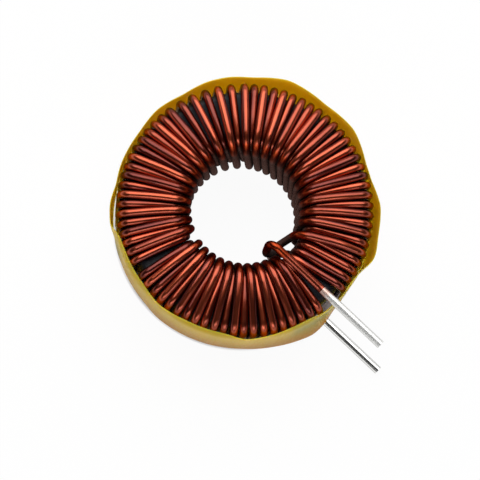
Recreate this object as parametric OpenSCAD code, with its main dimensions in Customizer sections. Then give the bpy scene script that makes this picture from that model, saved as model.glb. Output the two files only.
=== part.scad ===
/* [Core] */
// Outside diameter of the coated ring core
core_od = 38.1; // [34:0.1:47]
// Diameter of the core's bore
core_id = 21.9; // [18:0.1:26]
// Height of the core
core_h = 11.1; // [8:0.1:16]
// Radius of the core's rounded edges
core_edge_r = 1.2; // [0.6:0.1:2]

/* [Wire] */
// Diameter of the enamelled wire
wire_d = 1.3; // [1.05:0.05:1.5]
// Thickness of the enamel, which is stripped from the ends
enamel_t = 0.05; // [0.02:0.01:0.1]
// Thickness of the solder on the stripped ends
solder_t = 0.065; // [0.03:0.005:0.15]
// Room between the wire and the core
core_gap = 0.05; // [0.02:0.01:0.15]
// Least room between two turns that lie on each other
turn_gap = 0.05; // [0.03:0.01:0.15]
// Room between neighbours of the second layer in the bore
bore_room = 0.16; // [0.15:0.01:0.5]

/* [Lay of the turns] */
// How much higher than the first layer the second stands where it crosses the upper rim
rim_rise = 1.2; // [1.2:0.05:1.5]
// How much lower than the first layer the second stands where it crosses the lower rim
rim_drop = 1.65; // [1.65:0.05:1.9]
// How much higher than its ends a run of the first layer stands in the middle of the top face
first_crown = 0.6; // [0.2:0.05:0.7]
// How far the second layer stands above the first there
crown_rise = 0.8; // [0.75:0.05:1.1]
// Angle by which a run in the bore leans between its foot and its head
bore_lean = 10; // [4:0.5:12]
// How far a turn may stray from its place on the outside, as an angle
outer_stray = 0.12; // [0:0.02:0.14]
// How far a turn may stray from its place in the bore, as an angle
inner_stray = 0.1; // [0:0.02:0.12]

/* [Leads] */
// How far the top lead stands out past the core
top_lead_out = 11; // [10:0.05:20]
// How far the bottom lead stands out past the core
bottom_lead_out = 13.55; // [11.25:0.05:20]
// Length of tin on the top lead, from its tip
top_tin = 12.5; // [3:0.1:12.7]
// Length of tin on the bottom lead, from its tip
bottom_tin = 13.7; // [3:0.1:14]
// Sideways place of the top lead
top_lead_y = -1.3; // [-1.6:0.05:-0.8]
// Sideways place of the bottom lead
bottom_lead_y = -2.1; // [-2.6:0.05:-1.4]

/* [Tape] */
// Width of the tape, which is its height round the winding
tape_w = 12.7; // [9:0.1:15.5]
// Thickness of the wound tape, all its layers together
tape_t = 0.15; // [0.1:0.01:0.4]
// Room between the tape and the outermost wire
tape_gap = 0.12; // [0.1:0.01:0.3]

/* [Hidden] */
$fn = 48;

wire_r = wire_d / 2;
bare_r = wire_r - enamel_t;
tinned_r = bare_r + solder_t;
// A straight run is this much thinner than a bend, reaches this far into it, and is turned
// about its own line so that its seam stays away from the bend's
run_ease = 0.002;
run_seat = 0.03;
run_turn = 60;

// Places of the wire's centre line
outer_r = core_od / 2 + core_gap + wire_r;
face_z = core_h / 2 + core_gap + wire_r;
first_r = core_id / 2 - core_gap - wire_r;
layer_step = 0.88 * wire_d;
second_r = first_r - layer_step;
rim_z = face_z + rim_rise;
edge_bend = core_edge_r + core_gap + wire_r;
rim_bend = edge_bend + layer_step;
// Middle of the top face, where the runs are highest, and how far their bend there reaches
crown_r = (outer_r + second_r) / 2 - 0.2;
crown_reach = 0.96 * (crown_r - first_r - edge_bend);

// Angles of the turns: two layers share the bore, apart from a few turns beside the leads,
// which lie in one layer and so take more room; on the outside every turn has its own place
least_pitch = max(
    asin((wire_d + bore_room) / (2 * second_r)),
    2 * asin((wire_d + bore_room) / (2 * outer_r))
);
single_pitch = 2 * asin((wire_d + turn_gap) / (2 * first_r));
// Turns wound past the top lead
last_turns = 4;
lead_room = (last_turns + 1) * single_pitch - (last_turns + 2) * least_pitch;
// Places where the turns lie loosely: first turn, number of gaps, angle added over them
loose_places = [[25, 6, 9.5], [48, 1, single_pitch - least_pitch]];
loose_total = loose_places[0][2] + loose_places[1][2];
turns = floor((360 - lead_room - loose_total) / least_pitch);
pitch = (360 - lead_room - loose_total) / turns;
// Middle of the room that the turns leave for the top lead
lead_a = -3.2;
single_a = (last_turns + 2) * pitch + lead_room;
// How far back from the second turn the wire that crosses the bore comes up
cross_back = 10.6;

outer_strays = rands(-outer_stray, outer_stray, turns + 1, 5);
inner_strays = rands(-inner_stray, inner_stray, turns + 1, 8);

function clamp(v) = max(0, min(1, v));
function loose(i) = sum([for (p = loose_places) p[2] * clamp((i - p[0]) / p[1])]);
function sum(v, i = 0) = i < len(v) ? v[i] + sum(v, i + 1) : 0;

// Angle of a turn's outer run, and of the head of its run in the bore
first_a = lead_a + (pitch + lead_room) / 2 + last_turns * pitch;
function place(i) = first_a + (i - 1) * pitch + loose(i) + (i > turns - last_turns ? lead_room : 0);
function beside_lead(i) = i <= 2 || i >= turns - last_turns;
function outer_a(i) = place(i) + (beside_lead(i) ? 0 : outer_strays[i]);
function from_lead(i) = i <= 2 ? i + last_turns - 1 : i - turns + last_turns;
function inner_a(i) =
    i == 1 ? place(2) - cross_back
    : beside_lead(i) ? place(2) - single_a + from_lead(i) * single_a / (last_turns + 1)
    : place(i) + inner_strays[i];
// Every other turn lies in the first layer, and two in a row at the narrow loose place
function swapped(i) = turns % 2 == 1 && i > loose_places[1][0];
function single(i) = beside_lead(i) || (i % 2 == 0) != swapped(i);

// The angle from one azimuth to another, the short way
function swing(a, b) = (b - a + 540) % 360 - 180;
function at(r, a, z) = [r * cos(a), r * sin(a), z];

// The route of the wire, corner by corner, and the radius of each corner
function bore_foot(i) =
    single(i)
    ? at(first_r, inner_a(i) - bore_lean, -face_z)
    : at(second_r, inner_a(i) - 1.04 * bore_lean, -face_z - rim_drop);
function bore_head(i) = single(i) ? at(first_r, inner_a(i), face_z) : at(second_r, inner_a(i), rim_z);
function bore_bend(i) = single(i) ? edge_bend : rim_bend;
function outer_head(i) = at(outer_r, outer_a(i), face_z);
function outer_foot(i) = at(outer_r, outer_a(i), -face_z);
// A run over the top face is arched; beside the top lead, which passes over it, only a little
function crown_z(i) =
    face_z + (
        i == 1 ? first_crown / 2 + wire_d + 2 * turn_gap
        : beside_lead(i) ? first_crown / 2
        : first_crown + (single(i) ? 0 : crown_rise)
    );
function crown(i) =
    i == 1
    ? at(crown_r + wire_d, mix(inner_a(1), outer_a(1), 0.85), crown_z(1))
    : at(crown_r, inner_a(i) + swing(inner_a(i), outer_a(i)) / 2, crown_z(i));

// The wire comes in along the bottom lead, crosses the bore over the single layer,
// is wound round the core, and crosses back over itself to the loop of the top lead
cross_r = second_r - 0.05;
// Angles at which the crossing wire comes up, and at which the loop starts, rises and leaves
cross_foot_a = -5;
loop_foot_a = mix(inner_a(turns), inner_a(2), 0.37) - bore_lean;
loop_rise_a = -22;
loop_leave_a = -13.5;
bottom_lead_z = -(face_z + wire_d + turn_gap);
top_lead_z = face_z + 1.05;
top_tip_x = core_od / 2 + top_lead_out;
bottom_tip_x = core_od / 2 + bottom_lead_out;
top_tin_x = top_tip_x - top_tin;
bottom_tin_x = bottom_tip_x - bottom_tin;
// How far a lead stays straight behind its tin
lead_run = 0.5;
in_route = [
    [bottom_tin_x, bottom_lead_y, bottom_lead_z],
    [bottom_tin_x - lead_run, bottom_lead_y, bottom_lead_z],
    at(second_r - 2 * wire_d, cross_foot_a, bottom_lead_z),
    at(cross_r, inner_a(1), face_z + wire_d + 0.1),
    crown(1),
    outer_head(1),
    outer_foot(1)
];
out_route = [
    at(second_r + 0.46 * wire_d, loop_foot_a, -face_z - rim_drop - 0.05),
    at(second_r - 1.15 * wire_d, loop_rise_a, face_z - wire_d),
    at(second_r - 1.85 * wire_d, loop_leave_a, face_z + 2.1 * wire_d),
    [top_tin_x - lead_run, top_lead_y, top_lead_z],
    [top_tin_x, top_lead_y, top_lead_z]
];
function turn(i) = [bore_foot(i), bore_head(i), crown(i), outer_head(i), outer_foot(i)];
route = concat(in_route, [for (i = [2 : turns]) each turn(i)], out_route);
bends = concat(
    [0, 3, 1.25 * wire_d, rim_bend, crown_bend(4), edge_bend, edge_bend],
    [
        for (i = [2 : turns])
            each [bore_bend(i), bore_bend(i), crown_bend(5 * i - 1), edge_bend, edge_bend]
    ],
    [rim_bend, 3, wire_d, 3, 0]
);
corners = len(route);

function unit(v) = v / norm(v);
function heading(k) = unit(route[k + 1] - route[k]);
function crown_bend(k) = crown_reach * tan(half_angle(k));
// Half the angle between the two runs that meet at a corner
function half_angle(k) = acos(-heading(k - 1) * heading(k)) / 2;
// How far before and after a corner its bend reaches
function bend_reach(k) = bends[k] == 0 ? 0 : bends[k] / tan(half_angle(k));

// The tape lies loosely round the winding: at each of these azimuths its lower edge
// and its upper edge stand this far outside the winding
tape_waves = [
    [0, 0.3, -0.25], [10, 0.45, -0.1], [16, 0.65, 0.4], [22, 0.8, 1.45],
    [32, 0.7, 0.95], [45, 0.6, 1.0], [57, 0.5, 0.05], [64, 0.5, 0.05],
    [80, 0.5, 1.15], [96, 0.4, 0.75], [115, 0.4, 1.5], [130, 0.4, 0.75],
    [140, 0.4, 0.95], [150, 0.4, 0.85], [162, 0.4, 0.35], [175, 0.4, 0.7],
    [187, 0.5, 0.3], [205, 0.6, 0.45], [213, 0.7, 0.3], [221, 0.8, 0.95],
    [231, 0.85, 1.05], [236, 0.7, -0.1], [246, -0.1, -0.3], [255, -0.2, -0.5],
    [272, 0.35, 0.2], [295, 0.3, -0.6], [304, 0.3, -0.3], [313, 0.3, 0.5],
    [328, 0.65, 0], [341, 1.15, -0.4], [346, 1.4, -0.3], [351, 1.1, -0.25],
    [360, 0.3, -0.25]
];
lower_waves = [for (w = tape_waves) [w[0], w[1]]];
upper_waves = [for (w = tape_waves) [w[0], w[2]]];
tape_columns = 120;
wound_r = outer_r + wire_r;
// Height up to which the winding is straight on the outside
flat_z = core_h / 2 - core_edge_r;
// Height above that of the row where the tape follows the bend of the winding
bend_row = edge_bend / 2;
// Half the angle over which an edge makes room for a lead, and that over which it rises again
lead_clear_a = 9;
lead_ramp_a = 6;
// Wall and play of a tag or sleeve slid on to a lead, for which the tape's edges make room
tag_room = 0.85;
lead_clear = tinned_r + tag_room;

// From 0 at a lead to 1 clear of it
function off_lead(a, y) =
    let (away = abs(swing(asin(y / wound_r), a)))
    clamp((away - lead_clear_a) / lead_ramp_a);
function mix(a, b, t) = a + (b - a) * t;
function tape_top(a) =
    min(tape_w / 2, mix(top_lead_z - lead_clear, tape_w, off_lead(a, top_lead_y)));
function tape_foot(a) =
    max(-tape_w / 2, mix(bottom_lead_z + lead_clear, -tape_w, off_lead(a, bottom_lead_y)));
// Steepest slopes of the runs over the lower and the upper face, where they leave the outside
foot_slope = atan2(rim_drop, outer_r - second_r);
head_slope = atan2(first_crown + crown_rise, outer_r - crown_r);
// Radius of the winding's outside at a height: a bend into a sloping run starts nearer its corner
function wound_at(z) =
    let (
        slope = z < 0 ? foot_slope : head_slope,
        over = abs(z) - (face_z - edge_bend * tan(45 - slope / 2))
    )
    over <= 0
    ? wound_r
    : outer_r - edge_bend + sqrt(max(0, pow(edge_bend + wire_r, 2) - over * over));
function tape_row_z(a) =
    let (foot = tape_foot(a), top = tape_top(a))
    [
        foot, max(-flat_z - bend_row, 0.9 * foot), max(-flat_z, 0.8 * foot), 0,
        min(flat_z, 0.8 * top), min(flat_z + bend_row, 0.9 * top), top
    ];
tape_rows = 7;
// Share of each row's place that it takes from the upper edge
row_shares = [0, 0.08, 0.15, 0.5, 0.85, 0.92, 1];
function tape_row_r(a) =
    let (low = lookup(a, lower_waves), high = lookup(a, upper_waves), z = tape_row_z(a))
    [
        for (k = [0 : tape_rows - 1])
            max(wound_r + mix(low, high, row_shares[k]), wound_at(z[k]) + tape_gap + tape_t)
    ];
// Points round the tape's section, up its outside and down its inside
function tape_section(a) =
    let (z = tape_row_z(a), r = tape_row_r(a))
    [
        for (k = [0 : tape_rows - 1]) at(r[k], a, z[k]),
        for (k = [tape_rows - 1 : -1 : 0]) at(r[k] - tape_t, a, z[k])
    ];

module bend(k) {
    radius = bends[k];
    inwards = unit(heading(k) - heading(k - 1));
    centre = route[k] + inwards * radius / sin(half_angle(k));
    x = (route[k] - heading(k - 1) * bend_reach(k) - centre) / radius;
    y = heading(k - 1);
    z = cross(x, y);
    multmatrix([
        [x[0], y[0], z[0], centre[0]],
        [x[1], y[1], z[1], centre[1]],
        [x[2], y[2], z[2], centre[2]]
    ])
        rotate_extrude(angle = 180 - 2 * half_angle(k))
            translate([radius, 0]) circle(r = wire_r);
}

module straight(k) {
    start = route[k] + heading(k) * (bend_reach(k) - (bends[k] == 0 ? 0 : run_seat));
    end = route[k + 1] - heading(k) * (bend_reach(k + 1) - (bends[k + 1] == 0 ? 0 : run_seat));
    way = end - start;
    translate(start)
        rotate([0, acos(way[2] / norm(way)), atan2(way[1], way[0])])
            rotate(run_turn) cylinder(r = wire_r - run_ease, h = norm(way));
}

// Five corners of the route, with the straight run after each
module stretch(first) {
    for (k = [first : min(first + 4, corners - 2)]) {
        bend(k);
        straight(k);
    }
}

// The stripped end of the wire, which reaches a little into the enamelled part
module bare_end(tip, tin, y, z) {
    translate([tip - tin - run_seat, y, z])
        rotate([0, 90, 0]) cylinder(r = bare_r, h = tin + run_seat);
}

// The coat of solder round a stripped end
module tinned_end(tip, tin, y, z) {
    translate([tip - tin, y, z])
        rotate([0, 90, 0])
            difference() {
                cylinder(r = tinned_r, h = tin);
                translate([0, 0, -1]) cylinder(r = bare_r, h = tin + 2);
            }
}

module core() {
    color("#26262b")
        rotate_extrude() {
            for (x = [core_id / 2 + core_edge_r, core_od / 2 - core_edge_r])
                for (z = [-1, 1] * (core_h / 2 - core_edge_r))
                    translate([x, z]) circle(r = core_edge_r);
            translate([core_id / 2, core_edge_r - core_h / 2])
                square([(core_od - core_id) / 2, core_h - 2 * core_edge_r]);
            translate([core_id / 2 + core_edge_r, -core_h / 2])
                square([(core_od - core_id) / 2 - 2 * core_edge_r, core_h]);
        }
}

module winding() {
    color("sienna") {
        bare_end(bottom_tip_x, bottom_tin, bottom_lead_y, bottom_lead_z);
        bare_end(top_tip_x, top_tin, top_lead_y, top_lead_z);
        straight(0);
        for (first = [1 : 5 : corners - 2]) stretch(first);
    }
}

module tape() {
    ring = 2 * tape_rows;
    points = [for (j = [0 : tape_columns - 1]) each tape_section(j * 360 / tape_columns)];
    faces = [
        for (j = [0 : tape_columns - 1], k = [0 : ring - 1])
            let (
                a = j * ring + k,
                b = j * ring + (k + 1) % ring,
                c = (j + 1) % tape_columns * ring + (k + 1) % ring,
                d = (j + 1) % tape_columns * ring + k
            )
            each [[a, b, c], [a, c, d]]
    ];
    color("#d9b740") polyhedron(points, faces);
}

module top_tinned_end() {
    color("silver") tinned_end(top_tip_x, top_tin, top_lead_y, top_lead_z);
}

module bottom_tinned_end() {
    color("silver") tinned_end(bottom_tip_x, bottom_tin, bottom_lead_y, bottom_lead_z);
}

core();
winding();
tape();
top_tinned_end();
bottom_tinned_end();
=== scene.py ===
"""Looks of a toroidal inductor: two layers of enamelled wire wound round a coated ring core,
with a loose turn of amber film round it and two tinned leads."""

import math

import bpy
from mathutils import Matrix, Vector


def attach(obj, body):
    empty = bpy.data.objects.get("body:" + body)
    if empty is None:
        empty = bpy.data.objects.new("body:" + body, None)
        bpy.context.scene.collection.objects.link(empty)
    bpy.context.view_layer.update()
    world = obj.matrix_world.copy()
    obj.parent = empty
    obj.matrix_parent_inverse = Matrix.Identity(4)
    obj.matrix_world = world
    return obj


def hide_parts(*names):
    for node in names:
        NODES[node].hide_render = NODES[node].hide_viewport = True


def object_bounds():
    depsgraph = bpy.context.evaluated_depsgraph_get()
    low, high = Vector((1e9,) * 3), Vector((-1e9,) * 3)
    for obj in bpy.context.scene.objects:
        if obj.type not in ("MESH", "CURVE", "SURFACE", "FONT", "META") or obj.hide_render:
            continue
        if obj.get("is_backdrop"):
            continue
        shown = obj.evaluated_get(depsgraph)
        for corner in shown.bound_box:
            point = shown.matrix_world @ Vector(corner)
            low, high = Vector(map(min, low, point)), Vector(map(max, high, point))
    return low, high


bl_info = {
    "name": "Toroidal Inductor",
    "version": (1, 0, 0),
    "blender": (4, 5, 0),
    "location": "3D View > Sidebar > Inductor",
    "description": "Finishes a wound ring core: enamelled wire, tinned leads, amber film and a studio",
    "category": "Object",
}

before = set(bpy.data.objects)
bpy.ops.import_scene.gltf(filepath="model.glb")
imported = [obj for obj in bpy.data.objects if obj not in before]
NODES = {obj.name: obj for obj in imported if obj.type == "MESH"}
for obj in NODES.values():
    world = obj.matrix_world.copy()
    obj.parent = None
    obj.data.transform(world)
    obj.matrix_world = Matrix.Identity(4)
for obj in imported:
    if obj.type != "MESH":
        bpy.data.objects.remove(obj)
CAD_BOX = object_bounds()

MM = 0.001


def reach(node_name, axis):
    """The least and the greatest coordinate of a CAD node, along axis 0 (x), 1 (y) or 2 (z)"""
    values = [corner.co[axis] for corner in NODES[node_name].data.vertices]
    return min(values), max(values)


# Places on the part; the two along the leads are the upper one's
CORE_TOP = reach("core", 2)[1]
BORE_RADIUS = min(math.hypot(corner.co.x, corner.co.y) for corner in NODES["core"].data.vertices)
WINDING_RADIUS = -reach("winding", 0)[0]
FILM_TOP = reach("tape", 2)[1]
SOLDER_START = reach("top_tinned_end", 0)[0]
SOLDER_MIDDLE = sum(reach("top_tinned_end", 0)) / 2

# No part of the film is drawn in past this
CLEAR_RADIUS = WINDING_RADIUS + 0.15 * MM

# Arcs of the ring, in degrees, where the film is drawn in: start, full from, full to, end
NEAR_LEFT_ARC = (175, 195, 236, 246)
FAR_RIGHT_ARC = (4, 14, 68, 82)
LEADS_ARC = (-26, -18, 10, 16)

# Heights between which the film's two edges are drawn in, from not at all to fully
LOWER_EDGE = (2 * MM, -6 * MM)
UPPER_EDGE = (-4 * MM, 3.5 * MM)

# Heights between which the film's outer face goes from painted shade low down to its full colour
# higher up
PAINTED_SHADE_HEIGHTS = (-5 * MM, 4 * MM)

# The studio: the floor's shade under the ring starts at SHADE_RADIUS from its axis
FLOOR_RADIUS = 1.5
WALL_HEIGHT = 0.3
SHADE_RADIUS = 16.5 * MM
LIGHT_DISTANCE = 0.8
MAIN_LIGHT_SIZE = (1.3, 0.88)
FRONT_LIGHT_SIZE = (0.9, 0.3)


# Settings

class InductorWire(bpy.types.PropertyGroup):
    """Enamelled wire"""
    copper: bpy.props.FloatVectorProperty(
        name="Copper", description="Colour of the copper seen through the enamel",
        subtype="COLOR", size=3, min=0, max=1, default=(0.56, 0.086, 0.026))
    shadow: bpy.props.FloatVectorProperty(
        name="Dark copper", description="Colour where the enamel is thickest",
        subtype="COLOR", size=3, min=0, max=1, default=(0.12, 0.008, 0.002))
    edge: bpy.props.FloatVectorProperty(
        name="Edge", description="Tint of the reflection at a grazing angle",
        subtype="COLOR", size=3, min=0, max=1, default=(0.10, 0.02, 0.01))
    # Painted reflection: this greyish colour of the wire on the bore wall stands in for the floor seen
    # there at a grazing angle
    bore: bpy.props.FloatVectorProperty(
        name="Bore", description="Colour of the rubbed enamel in the bore",
        subtype="COLOR", size=3, min=0, max=1, default=(0.20, 0.145, 0.13))
    bare: bpy.props.FloatVectorProperty(
        name="Cut copper", description="Colour of the copper where the wire was cut",
        subtype="COLOR", size=3, min=0, max=1, default=(0.16, 0.09, 0.07))
    clouds: bpy.props.FloatProperty(
        name="Clouds", description="How much the tone changes along each turn",
        default=0.2, min=0, max=1, subtype="FACTOR")
    gloss: bpy.props.FloatProperty(
        name="Clear coat", description="Weight of the clear enamel outside the bore",
        default=0.7, min=0, max=1, subtype="FACTOR")
    roughness: bpy.props.FloatProperty(
        name="Roughness", description="Roughness of the enamel", default=0.29, min=0, max=1,
        subtype="FACTOR")
    rubbing: bpy.props.FloatProperty(
        name="Rubbing", description="Roughness that rubbing adds in the bore", default=0.22,
        min=0, max=1, subtype="FACTOR")


class InductorCore(bpy.types.PropertyGroup):
    """Coat of the ring core"""
    coat: bpy.props.FloatVectorProperty(
        name="Coat", description="Colour of the epoxy coat",
        subtype="COLOR", size=3, min=0, max=1, default=(0.006, 0.007, 0.011))
    dust: bpy.props.FloatVectorProperty(
        name="Dusty coat", description="Colour of the coat where it is dusty",
        subtype="COLOR", size=3, min=0, max=1, default=(0.012, 0.014, 0.022))


class InductorTin(bpy.types.PropertyGroup):
    """Solder on the leads"""
    tin: bpy.props.FloatVectorProperty(
        name="Tin", description="Colour of the solder",
        subtype="COLOR", size=3, min=0, max=1, default=(0.82, 0.82, 0.80))
    pink: bpy.props.FloatVectorProperty(
        name="Start", description="Colour where the solder is thin over the copper",
        subtype="COLOR", size=3, min=0, max=1, default=(0.66, 0.42, 0.34))
    edge: bpy.props.FloatVectorProperty(
        name="Edge", description="Tint of the reflection at a grazing angle",
        subtype="COLOR", size=3, min=0, max=1, default=(0.12, 0.12, 0.115))
    ragged: bpy.props.FloatProperty(
        name="Ragged start", description="How far the start of the full solder wanders",
        default=2.4 * MM, min=0, unit="LENGTH")
    top: bpy.props.FloatProperty(
        name="Upper roughness", description="Roughness of the upper lead", default=0.42,
        min=0, max=1, subtype="FACTOR")
    bottom: bpy.props.FloatProperty(
        name="Lower roughness", description="Roughness of the lower lead", default=0.16,
        min=0, max=1, subtype="FACTOR")


class InductorFilm(bpy.types.PropertyGroup):
    """Amber film round the winding"""
    amber: bpy.props.FloatVectorProperty(
        name="Amber", description="Colour of the film's inner face",
        subtype="COLOR", size=3, min=0, max=1, default=(1.0, 0.42, 0.02))
    pale: bpy.props.FloatVectorProperty(
        name="Outer face", description="Colour of the film's outer face near its upper edge",
        subtype="COLOR", size=3, min=0, max=1, default=(1.0, 0.44, 0.05))
    # Painted shade: the outer face is darker low down, where less light falls on it
    painted_shade_low: bpy.props.FloatVectorProperty(
        name="Worn face", description="Colour of the outer face low down, hazed by handling",
        subtype="COLOR", size=3, min=0, max=1, default=(0.54, 0.21, 0.025))
    # Painted highlight: the film's edges are lighter and yellower where they catch the light
    painted_rim_highlight: bpy.props.FloatVectorProperty(
        name="Rim", description="Colour along the edges of the film",
        subtype="COLOR", size=3, min=0, max=1, default=(1.0, 0.58, 0.04))
    vein: bpy.props.FloatVectorProperty(
        name="Veins", description="Colour of the faint wrinkles",
        subtype="COLOR", size=3, min=0, max=1, default=(0.90, 0.44, 0.03))
    veins: bpy.props.FloatProperty(
        name="Strength of the veins", description="How far the wrinkles take on their colour",
        default=0.12, min=0, max=1, subtype="FACTOR")
    clearness: bpy.props.FloatProperty(
        name="Clearness", description="Share of the light that goes through the film",
        default=0.06, min=0, max=1, subtype="FACTOR")
    depth: bpy.props.FloatProperty(
        name="Depth", description="How far light spreads within the film",
        default=1.2 * MM, min=0, unit="LENGTH")
    roughness: bpy.props.FloatProperty(
        name="Roughness", description="Roughness of the film", default=0.42, min=0, max=1,
        subtype="FACTOR")
    hug: bpy.props.FloatProperty(
        name="Hug", description="How far the lower edge is drawn in at the sides, and half as far "
        "as the upper edge is beside the leads",
        default=0.8 * MM, min=0, unit="LENGTH")
    levels: bpy.props.IntProperty(
        name="Smoothing", description="Subdivision steps of the film", default=2, min=0, max=3)


class InductorStudio(bpy.types.PropertyGroup):
    """Camera, floor and lights"""
    azimuth: bpy.props.FloatProperty(
        name="Azimuth", description="Angle of the camera round the part",
        default=math.radians(23.57), subtype="ANGLE")
    elevation: bpy.props.FloatProperty(
        name="Elevation", description="Angle of the camera above the floor",
        default=math.radians(79.43), subtype="ANGLE")
    roll: bpy.props.FloatProperty(
        name="Roll", description="Angle by which the camera is turned about its own line",
        default=math.radians(20), subtype="ANGLE")
    distance: bpy.props.FloatProperty(
        name="Distance", description="From the camera to the middle of the ring",
        default=0.4, unit="LENGTH")
    lens: bpy.props.FloatProperty(
        name="Lens", description="Focal length in millimetres", default=188.1, min=10,
        unit="CAMERA")
    aim_right: bpy.props.FloatProperty(
        name="Aim to the right", description="How far right of the ring's middle the camera aims",
        default=-0.51 * MM, unit="LENGTH")
    aim_up: bpy.props.FloatProperty(
        name="Aim up", description="How far above the ring's middle the camera aims",
        default=-3.94 * MM, unit="LENGTH")
    key_level: bpy.props.FloatProperty(
        name="Main light", description="Brightness of the large soft light behind",
        default=2.75, min=0)
    key_tilt: bpy.props.FloatProperty(
        name="Main light's tilt", description="Angle of the main light behind the zenith",
        default=math.radians(38), subtype="ANGLE")
    fill_level: bpy.props.FloatProperty(
        name="Front light", description="Brightness of the front light", default=2.7, min=0)
    fill_tilt: bpy.props.FloatProperty(
        name="Front light's tilt",
        description="Angle of the front light behind the zenith, so below 0 for in front of it",
        default=math.radians(-55), subtype="ANGLE")
    world: bpy.props.FloatProperty(
        name="Room light", description="Strength of the even light of the room",
        default=0.05, min=0)
    floor_glow: bpy.props.FloatProperty(
        name="Floor glow", description="Share of the floor seen as plain white",
        default=0.95, min=0, max=1, subtype="FACTOR")


class InductorSettings(bpy.types.PropertyGroup):
    """All settings of the inductor"""
    wire: bpy.props.PointerProperty(type=InductorWire, name="Wire", description="Enamelled wire")
    core: bpy.props.PointerProperty(type=InductorCore, name="Core", description="Coated core")
    tin: bpy.props.PointerProperty(type=InductorTin, name="Tin", description="Solder on the leads")
    film: bpy.props.PointerProperty(type=InductorFilm, name="Film", description="Amber film")
    studio: bpy.props.PointerProperty(
        type=InductorStudio, name="Studio", description="Camera, floor and lights")


# Shares along a range

def ramp(value, low, high):
    """From 0 at low to 1 at high, clamped"""
    return max(0.0, min(1.0, (value - low) / (high - low)))


def along_arc(angle, start, full, fade, end):
    """From 0 at start up to 1 between full and fade, and down to 0 at end, in degrees"""
    turned = (angle - start) % 360
    return ramp(turned, 0, full - start) * ramp(turned, end - start, fade - start)


# Node trees

def new_material(name):
    """A material with an empty node tree"""
    material = bpy.data.materials.new(name)
    material.use_nodes = True
    material.node_tree.nodes.clear()
    return material


def add(tree, kind, at=(0, 0), **values):
    """A new node, with its own settings"""
    node = tree.nodes.new(kind)
    node.location = at
    for key, value in values.items():
        setattr(node, key, value)
    return node


def put(node, **values):
    """Fixed values on a node's inputs, named with _ for a space"""
    for key, value in values.items():
        socket = node.inputs[key.replace("_", " ")]
        socket.default_value = (*value, 1) if socket.type == "RGBA" and len(value) == 3 else value
    return node


def maths(tree, kind, a, b=None, at=(0, 0)):
    """A math node; a and b are sockets or numbers"""
    node = add(tree, "ShaderNodeMath", at, operation=kind)
    for k, value in enumerate((a, b)):
        if value is None:
            continue
        if isinstance(value, (int, float)):
            node.inputs[k].default_value = value
        else:
            tree.links.new(value, node.inputs[k])
    return node.outputs[0]


def band(tree, value, low, high, to=(0.0, 1.0), at=(0, 0)):
    """A value carried from one range to another, clamped"""
    node = add(tree, "ShaderNodeMapRange", at)
    tree.links.new(value, node.inputs["Value"])
    for key, number in zip(("From Min", "From Max", "To Min", "To Max"), (low, high, *to)):
        node.inputs[key].default_value = number
    return node.outputs["Result"]


def blend(tree, share, first, second, at=(0, 0)):
    """A colour mixed from two; each is a socket or a colour"""
    node = add(tree, "ShaderNodeMix", at, data_type="RGBA")
    tree.links.new(share, node.inputs[0])
    for k, value in ((6, first), (7, second)):
        if isinstance(value, bpy.types.NodeSocket):
            tree.links.new(value, node.inputs[k])
        else:
            node.inputs[k].default_value = (*value, 1)
    return node.outputs[2]


def place(tree, at=(-1200, 0)):
    """The object coordinates and their three parts"""
    where = add(tree, "ShaderNodeTexCoord", at).outputs["Object"]
    parts = add(tree, "ShaderNodeSeparateXYZ", (at[0] + 180, at[1] - 120))
    tree.links.new(where, parts.inputs[0])
    return where, parts.outputs


def from_axis(tree, x, y, at=(-800, -320)):
    """The distance from the ring's axis"""
    squares = [maths(tree, "MULTIPLY", part, part, (at[0], at[1] - 140 * k))
               for k, part in enumerate((x, y))]
    total = maths(tree, "ADD", *squares, (at[0] + 180, at[1] - 60))
    return maths(tree, "SQRT", total, None, (at[0] + 340, at[1] - 60))


def grain_group():
    """Even grain: a soft cloud and a fine speckle, both 0 to 1"""
    group = bpy.data.node_groups.get("grain")
    if group:
        return group
    group = bpy.data.node_groups.new("grain", "ShaderNodeTree")
    group.interface.new_socket("Vector", in_out="INPUT", socket_type="NodeSocketVector")
    group.interface.new_socket("Size", in_out="INPUT", socket_type="NodeSocketFloat")
    group.interface.new_socket("Cloud", in_out="OUTPUT", socket_type="NodeSocketFloat")
    group.interface.new_socket("Speckle", in_out="OUTPUT", socket_type="NodeSocketFloat")
    start = add(group, "NodeGroupInput", (-600, 0))
    end = add(group, "NodeGroupOutput", (400, 0))
    cloud = put(add(group, "ShaderNodeTexNoise", (-200, 120)), Detail=3.0, Roughness=0.55)
    speckle = put(add(group, "ShaderNodeTexNoise", (-200, -160)), Detail=2.0, Roughness=0.7)
    # The speckle is nine times finer than the cloud
    finer = maths(group, "MULTIPLY", start.outputs["Size"], 9.0, (-400, -200))
    group.links.new(start.outputs["Vector"], cloud.inputs["Vector"])
    group.links.new(start.outputs["Vector"], speckle.inputs["Vector"])
    group.links.new(start.outputs["Size"], cloud.inputs["Scale"])
    group.links.new(finer, speckle.inputs["Scale"])
    for noise, name, height in ((cloud, "Cloud", 120), (speckle, "Speckle", -160)):
        group.links.new(band(group, noise.outputs[0], 0.3, 0.7, at=(100, height)), end.inputs[name])
    return group


def grain(tree, where, size, at=(-900, 300)):
    """The cloud and the speckle of the grain; size is the number of clouds in a metre"""
    node = add(tree, "ShaderNodeGroup", at)
    node.node_tree = grain_group()
    tree.links.new(where, node.inputs["Vector"])
    node.inputs["Size"].default_value = size
    return node.outputs["Cloud"], node.outputs["Speckle"]


def finish_material(tree, shader):
    """The output of a material"""
    out = add(tree, "ShaderNodeOutputMaterial", (900, 0))
    tree.links.new(shader.outputs[0], out.inputs["Surface"])


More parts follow.
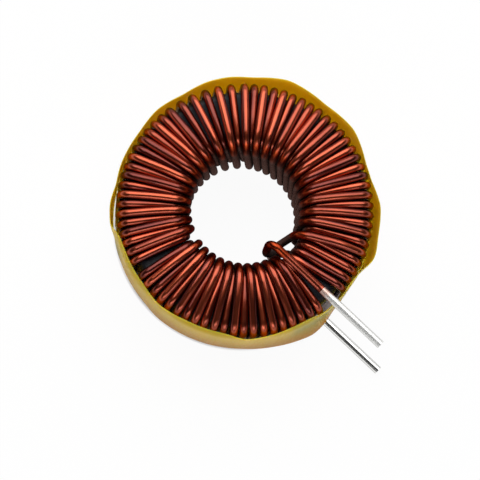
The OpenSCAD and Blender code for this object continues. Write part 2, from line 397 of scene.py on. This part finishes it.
def principled(tree, colour, roughness, height, relief, **values):
    """A finished surface: its colour, roughness and bumps, and the fixed values of its shader;
    relief is the strength and the height of the bumps"""
    shader = put(add(tree, "ShaderNodeBsdfPrincipled", (620, 0)), **values)
    bump = put(add(tree, "ShaderNodeBump", (400, -300)), Strength=relief[0], Distance=relief[1])
    tree.links.new(height, bump.inputs["Height"])
    tree.links.new(colour, shader.inputs["Base Color"])
    tree.links.new(roughness, shader.inputs["Roughness"])
    tree.links.new(bump.outputs[0], shader.inputs["Normal"])
    finish_material(tree, shader)
    return shader


def shade(node_name, material):
    """A CAD node with one material"""
    cad = NODES[node_name]
    cad.data.materials.clear()
    cad.data.materials.append(material)


# Materials

def wire_material(look):
    """Copper under clear enamel, bare where it was cut; on the wall of the bore a greyish painted
    reflection, with more roughness and no clear coat
    """
    material = new_material("enamelled_wire")
    tree = material.node_tree
    where, (x, y, z) = place(tree)
    cloud, speckle = grain(tree, where, size=260)
    # Each turn has its own tone
    angle = maths(tree, "ARCTAN2", y, x, (-800, -80))
    tone = put(add(tree, "ShaderNodeTexNoise", (-500, -80), noise_dimensions="1D"),
               Scale=13.0, Detail=1.0)
    tree.links.new(angle, tone.inputs["W"])
    own = band(tree, tone.outputs[0], 0.35, 0.65, (0.05, 0.85), (-320, -80))
    clouds = maths(tree, "MULTIPLY", cloud, look.clouds, (-500, 160))
    dark = maths(tree, "ADD", own, clouds, (-160, 40))
    colour = blend(tree, dark, look.copper, look.shadow, (20, 120))
    # Painted reflection and dull on the wall of the bore: a greyish colour stands in for the floor
    # seen there at a grazing angle, and the roughness is raised
    inside = band(tree, from_axis(tree, x, y), BORE_RADIUS - 0.35 * MM, BORE_RADIUS - 1.05 * MM,
                  at=(-300, -380))
    low = band(tree, z, CORE_TOP + 1.45 * MM, CORE_TOP - 0.35 * MM, at=(-300, -560))
    # Mask of the bore wall: there the colour is a painted reflection, and the roughness is raised
    bore_reflection_and_rubbing = maths(tree, "MULTIPLY", inside, low, (-120, -420))
    colour = blend(tree, bore_reflection_and_rubbing, colour, look.bore, (200, 60))
    # Of the wire inside the solder only the cut faces at the tips show
    cut = band(tree, x, SOLDER_MIDDLE, SOLDER_MIDDLE + 0.5 * MM, at=(-120, -620))
    colour = blend(tree, cut, colour, look.bare, (380, 40))
    smooth = band(tree, speckle, 0, 1, (look.roughness - 0.015, look.roughness + 0.025),
                  (-320, 320))
    rough = maths(tree, "ADD", smooth, maths(tree, "MULTIPLY", bore_reflection_and_rubbing, look.rubbing, (60, -300)),
                  (220, 300))
    shader = principled(tree, colour, rough, cloud, (0.1, 0.02 * MM), Metallic=1.0,
                        Specular_Tint=look.edge, Coat_Roughness=0.2, Coat_IOR=1.5)
    tree.links.new(band(tree, inside, 0, 1, (look.gloss, 0.0), (380, -420)),
                   shader.inputs["Coat Weight"])
    return material


def core_material(look):
    """Dark epoxy coat of the ring core"""
    material = new_material("core_coating")
    tree = material.node_tree
    cloud, speckle = grain(tree, place(tree)[0], size=500)
    colour = blend(tree, cloud, look.coat, look.dust, (200, 100))
    rough = band(tree, speckle, 0, 1, (0.42, 0.6), (200, -100))
    principled(tree, colour, rough, speckle, (0.3, 0.02 * MM), Specular_IOR_Level=0.3)
    return material


def tin_material(look):
    """Solder on both leads, brighter and smoother on the lower one"""
    material = new_material("tin")
    tree = material.node_tree
    where, (x, _, z) = place(tree)
    cloud, speckle = grain(tree, where, size=700)
    # The solder starts raggedly, thin and pinkish, and the lower lead is the smoother one
    ragged = maths(tree, "MULTIPLY", maths(tree, "SUBTRACT", cloud, 0.5, (-500, 200)),
                   look.ragged, (-340, 200))
    start = band(tree, maths(tree, "ADD", x, ragged, (-180, 160)),
                 SOLDER_START + 3.05 * MM, SOLDER_START + 1.05 * MM, (0.0, 0.85), (0, 160))
    colour = blend(tree, start, look.tin, look.pink, (200, 160))
    dull = band(tree, z, -1 * MM, 1 * MM, (look.bottom, look.top), (-180, -120))
    rough = maths(tree, "ADD", dull, band(tree, speckle, 0, 1, (-0.02, 0.02), (-180, -320)),
                  (20, -180))
    principled(tree, colour, rough, cloud, (0.15, 0.03 * MM), Metallic=1.0,
               Specular_Tint=look.edge)
    return material


def film_material(look):
    """Clear amber film with a waxy sheen; its outer face has painted shade low down, and its edges a
    painted highlight
    """
    material = new_material("amber_film")
    tree = material.node_tree
    where, (_, _, z) = place(tree)
    # Wrinkles run up and down the film
    stretch = put(add(tree, "ShaderNodeMapping", (-1000, 300)), Scale=(1.0, 1.0, 0.22))
    tree.links.new(where, stretch.inputs["Vector"])
    cloud, speckle = grain(tree, stretch.outputs[0], size=330, at=(-800, 300))
    outer = add(tree, "ShaderNodeAttribute", (-500, -300), attribute_name="outer")
    # Painted shade: the outer face is darker low down and lighter towards its upper edge
    painted_light_by_height = band(tree, z, *PAINTED_SHADE_HEIGHTS, at=(-500, -480))
    face = blend(tree, painted_light_by_height, look.painted_shade_low, look.pale, (-300, -480))
    colour = blend(tree, outer.outputs["Fac"], look.amber, face, (-100, -60))
    # Both edges get a painted highlight: a lighter, yellower colour where they catch the light
    height = maths(tree, "ABSOLUTE", z, None, (-700, -100))
    painted_rim_highlight = band(tree, height, FILM_TOP - 0.45 * MM, FILM_TOP - 0.03 * MM, at=(-500, -100))
    colour = blend(tree, painted_rim_highlight, colour, look.painted_rim_highlight, (60, 100))
    veins = maths(tree, "MULTIPLY", cloud, look.veins, (-300, 300))
    colour = blend(tree, veins, colour, look.vein, (220, 160))
    rough = band(tree, speckle, 0, 1, (look.roughness - 0.05, look.roughness + 0.08),
                 (200, -100))
    principled(tree, colour, rough, cloud, (0.35, 0.25 * MM),
               Transmission_Weight=look.clearness, IOR=1.45, Specular_IOR_Level=0.04,
               Subsurface_Weight=1.0, Subsurface_Scale=look.depth,
               Subsurface_Radius=(0.9, 0.7, 0.3))
    return material


def floor_material(look):
    """Pale floor, seen as plain white except under the ring"""
    material = new_material("studio_floor")
    tree = material.node_tree
    path = add(tree, "ShaderNodeLightPath", (-800, 200))
    seen = maths(tree, "MAXIMUM", path.outputs["Is Camera Ray"],
                 path.outputs["Is Glossy Ray"], (-600, 200))
    seen = maths(tree, "MAXIMUM", seen, path.outputs["Is Transmission Ray"], (-400, 200))
    share = maths(tree, "MULTIPLY", seen, look.floor_glow, (-300, 200))
    # Under the ring the floor shows only the light that reaches it
    _, (x, y, _) = place(tree, (-1600, -200))
    radius = from_axis(tree, x, y, (-1300, -320))
    under = maths(tree, "MULTIPLY", band(tree, radius, SHADE_RADIUS, SHADE_RADIUS + 1 * MM),
                  band(tree, radius, CLEAR_RADIUS + 0.2 * MM, CLEAR_RADIUS - 0.35 * MM))
    share = maths(tree, "MULTIPLY", share, maths(tree, "SUBTRACT", 1.0, under), (-150, 200))
    white = put(add(tree, "ShaderNodeBsdfDiffuse", (0, 0)), Color=(0.95, 0.95, 0.95))
    glow = put(add(tree, "ShaderNodeEmission", (0, -200)), Color=(1.0, 1.0, 1.0), Strength=1.0)
    mix = add(tree, "ShaderNodeMixShader", (200, 0))
    tree.links.new(share, mix.inputs[0])
    tree.links.new(white.outputs[0], mix.inputs[1])
    tree.links.new(glow.outputs[0], mix.inputs[2])
    finish_material(tree, mix)
    return material


# The film's shape

def draw_in(film, hug):
    """Draw the film towards the winding: its lower edge at two sides, and its upper edge, twice as
    far, beside the leads. A tenth of the room outside CLEAR_RADIUS is always left"""
    for corner in film.data.vertices:
        radius = math.hypot(corner.co.x, corner.co.y)
        angle = math.degrees(math.atan2(corner.co.y, corner.co.x))
        side = max(along_arc(angle, *NEAR_LEFT_ARC), along_arc(angle, *FAR_RIGHT_ARC))
        leads = along_arc(angle, *LEADS_ARC)
        low = ramp(corner.co.z, *LOWER_EDGE)
        high = ramp(corner.co.z, *UPPER_EDGE)
        room = max(0.0, radius - CLEAR_RADIUS)
        inward = min(hug * (side * low + 2 * leads * high), 0.9 * room)
        corner.co.x *= 1 - inward / radius
        corner.co.y *= 1 - inward / radius


def mark_outer_faces(film):
    """An attribute that is 1 on the faces that look outwards"""
    outer = film.data.attributes.new("outer", "FLOAT", "FACE")
    for face, value in zip(film.data.polygons, outer.data):
        value.value = float(face.normal.x * face.center.x + face.normal.y * face.center.y > 0)


# The studio

def standing(where, x, y, z):
    """The matrix of an object at a place, turned to three axes"""
    return Matrix.Translation(where) @ Matrix((x, y, z)).transposed().to_4x4()


def camera_stand(look):
    """The camera's place, and its axes: to the right, up and backwards"""
    around, rise = look.azimuth, look.elevation
    back = Vector((math.cos(rise) * math.sin(around), -math.cos(rise) * math.cos(around),
                   math.sin(rise)))
    right = Vector((math.cos(around), math.sin(around), 0))
    up = back.cross(right)
    x = math.cos(look.roll) * right + math.sin(look.roll) * up
    y = math.cos(look.roll) * up - math.sin(look.roll) * right
    stand = back * look.distance
    aim = x * look.aim_right + y * look.aim_up
    z = (stand - aim).normalized()
    x = y.cross(z).normalized()
    return stand, x, z.cross(x), z


def add_camera(context, look):
    """The camera, aimed near the ring's middle"""
    camera = bpy.data.objects.new("camera", bpy.data.cameras.new("camera"))
    context.collection.objects.link(camera)
    camera.matrix_world = standing(*camera_stand(look))
    camera.data.lens = look.lens
    camera.data.sensor_width = 36
    camera.data.clip_start = 0.01
    camera.data.clip_end = 10
    context.scene.camera = camera


def add_floor(context, look):
    """A round floor with a low wall all round"""
    low = min(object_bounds()[0].z, CAD_BOX[0].z)
    bpy.ops.object.select_all(action="DESELECT")
    bpy.ops.mesh.primitive_circle_add(
        vertices=96, radius=FLOOR_RADIUS, fill_type="NGON", location=(0, 0, low))
    floor = context.active_object
    floor.name = "floor"
    bpy.ops.object.mode_set(mode="EDIT")
    bpy.ops.mesh.select_all(action="SELECT")
    bpy.ops.mesh.region_to_loop()
    bpy.ops.mesh.extrude_edges_move(TRANSFORM_OT_translate={"value": (0, 0, WALL_HEIGHT)})
    bpy.ops.object.mode_set(mode="OBJECT")
    floor.data.materials.append(floor_material(look))
    floor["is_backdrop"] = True


def add_room(scene, look):
    """The even light of the room"""
    world = bpy.data.worlds.new("room")
    world.use_nodes = True
    put(world.node_tree.nodes["Background"], Color=(1, 1, 1), Strength=look.world)
    scene.world = world


def add_light(context, name, level, tilt, size, side):
    """A soft light over the ring, tilted back about the level line that runs to the side"""
    lamp = bpy.data.lights.new(name, "AREA")
    lamp.shape = "RECTANGLE"
    lamp.size, lamp.size_y = size
    lamp.energy = level * math.pi * size[0] * size[1]
    light = bpy.data.objects.new(name, lamp)
    context.collection.objects.link(light)
    zenith = Vector((0, 0, 1))
    way = zenith * math.cos(tilt) + zenith.cross(side) * math.sin(tilt)
    light.matrix_world = standing(way * LIGHT_DISTANCE, side, way.cross(side), way)


# Operators

class INDUCTOR_OT_wire(bpy.types.Operator):
    """Finish the winding with copper under clear enamel"""
    bl_idname = "inductor.wire"
    bl_label = "Enamelled wire"

    def execute(self, context):
        shade("winding", wire_material(context.scene.inductor.wire))
        return {"FINISHED"}


class INDUCTOR_OT_core(bpy.types.Operator):
    """Finish the ring core with a dark coat"""
    bl_idname = "inductor.core"
    bl_label = "Coated core"

    def execute(self, context):
        shade("core", core_material(context.scene.inductor.core))
        return {"FINISHED"}


class INDUCTOR_OT_leads(bpy.types.Operator):
    """Finish the two stripped ends with solder"""
    bl_idname = "inductor.leads"
    bl_label = "Tinned leads"

    def execute(self, context):
        tin = tin_material(context.scene.inductor.tin)
        for name in ("top_tinned_end", "bottom_tinned_end"):
            shade(name, tin)
        return {"FINISHED"}


class INDUCTOR_OT_film(bpy.types.Operator):
    """Build the loose turn of amber film round the winding"""
    bl_idname = "inductor.film"
    bl_label = "Amber film"

    def execute(self, context):
        look = context.scene.inductor.film
        bpy.ops.object.select_all(action="DESELECT")
        film = bpy.data.objects.new("film_wrap", NODES["tape"].data.copy())
        context.collection.objects.link(film)
        film.select_set(True)
        context.view_layer.objects.active = film
        bpy.ops.object.mode_set(mode="EDIT")
        bpy.ops.mesh.select_all(action="SELECT")
        bpy.ops.mesh.remove_doubles(threshold=0.002 * MM)
        bpy.ops.mesh.tris_convert_to_quads(
            face_threshold=math.radians(60), shape_threshold=math.radians(180))
        bpy.ops.object.mode_set(mode="OBJECT")
        draw_in(film, look.hug)
        smooth = film.modifiers.new("smooth", "SUBSURF")
        smooth.levels = smooth.render_levels = look.levels
        bpy.ops.object.modifier_apply(modifier=smooth.name)
        bpy.ops.object.shade_smooth_by_angle(angle=math.radians(40))
        mark_outer_faces(film)
        film.data.materials.clear()
        film.data.materials.append(film_material(look))
        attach(film, "root")
        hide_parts("tape")
        return {"FINISHED"}


class INDUCTOR_OT_studio(bpy.types.Operator):
    """Set up the camera, the floor with its low wall, the room and the lights"""
    bl_idname = "inductor.studio"
    bl_label = "Studio"

    def execute(self, context):
        look = context.scene.inductor.studio
        context.scene.view_settings.view_transform = "Standard"
        add_camera(context, look)
        add_floor(context, look)
        add_room(context.scene, look)
        across = camera_stand(look)[1]
        side = Vector((across.x, across.y, 0)).normalized()
        add_light(context, "main_light", look.key_level, look.key_tilt, MAIN_LIGHT_SIZE, side)
        add_light(context, "front_light", look.fill_level, look.fill_tilt, FRONT_LIGHT_SIZE, side)
        return {"FINISHED"}


class INDUCTOR_PT_panel(bpy.types.Panel):
    """The inductor's pieces, and the studio"""
    bl_idname = "INDUCTOR_PT_panel"
    bl_label = "Toroidal Inductor"
    bl_space_type = "VIEW_3D"
    bl_region_type = "UI"
    bl_category = "Inductor"

    def draw(self, context):
        for group, operator in (("wire", INDUCTOR_OT_wire), ("core", INDUCTOR_OT_core),
                                ("tin", INDUCTOR_OT_leads), ("film", INDUCTOR_OT_film),
                                ("studio", INDUCTOR_OT_studio)):
            box = self.layout.box()
            settings = getattr(context.scene.inductor, group)
            for key in settings.__annotations__:
                box.prop(settings, key)
            box.operator(operator.bl_idname)


CLASSES = (
    InductorWire, InductorCore, InductorTin, InductorFilm, InductorStudio, InductorSettings,
    INDUCTOR_OT_wire, INDUCTOR_OT_core, INDUCTOR_OT_leads, INDUCTOR_OT_film, INDUCTOR_OT_studio,
    INDUCTOR_PT_panel,
)


def register():
    for cls in CLASSES:
        bpy.utils.register_class(cls)
    bpy.types.Scene.inductor = bpy.props.PointerProperty(
        type=InductorSettings, name="Inductor", description="Settings of the inductor")


def unregister():
    del bpy.types.Scene.inductor
    for cls in reversed(CLASSES):
        bpy.utils.unregister_class(cls)


def main():
    register()
    bpy.ops.inductor.wire()
    bpy.ops.inductor.core()
    bpy.ops.inductor.leads()
    bpy.ops.inductor.film()
    bpy.ops.inductor.studio()


if __name__ == "__main__":
    main()
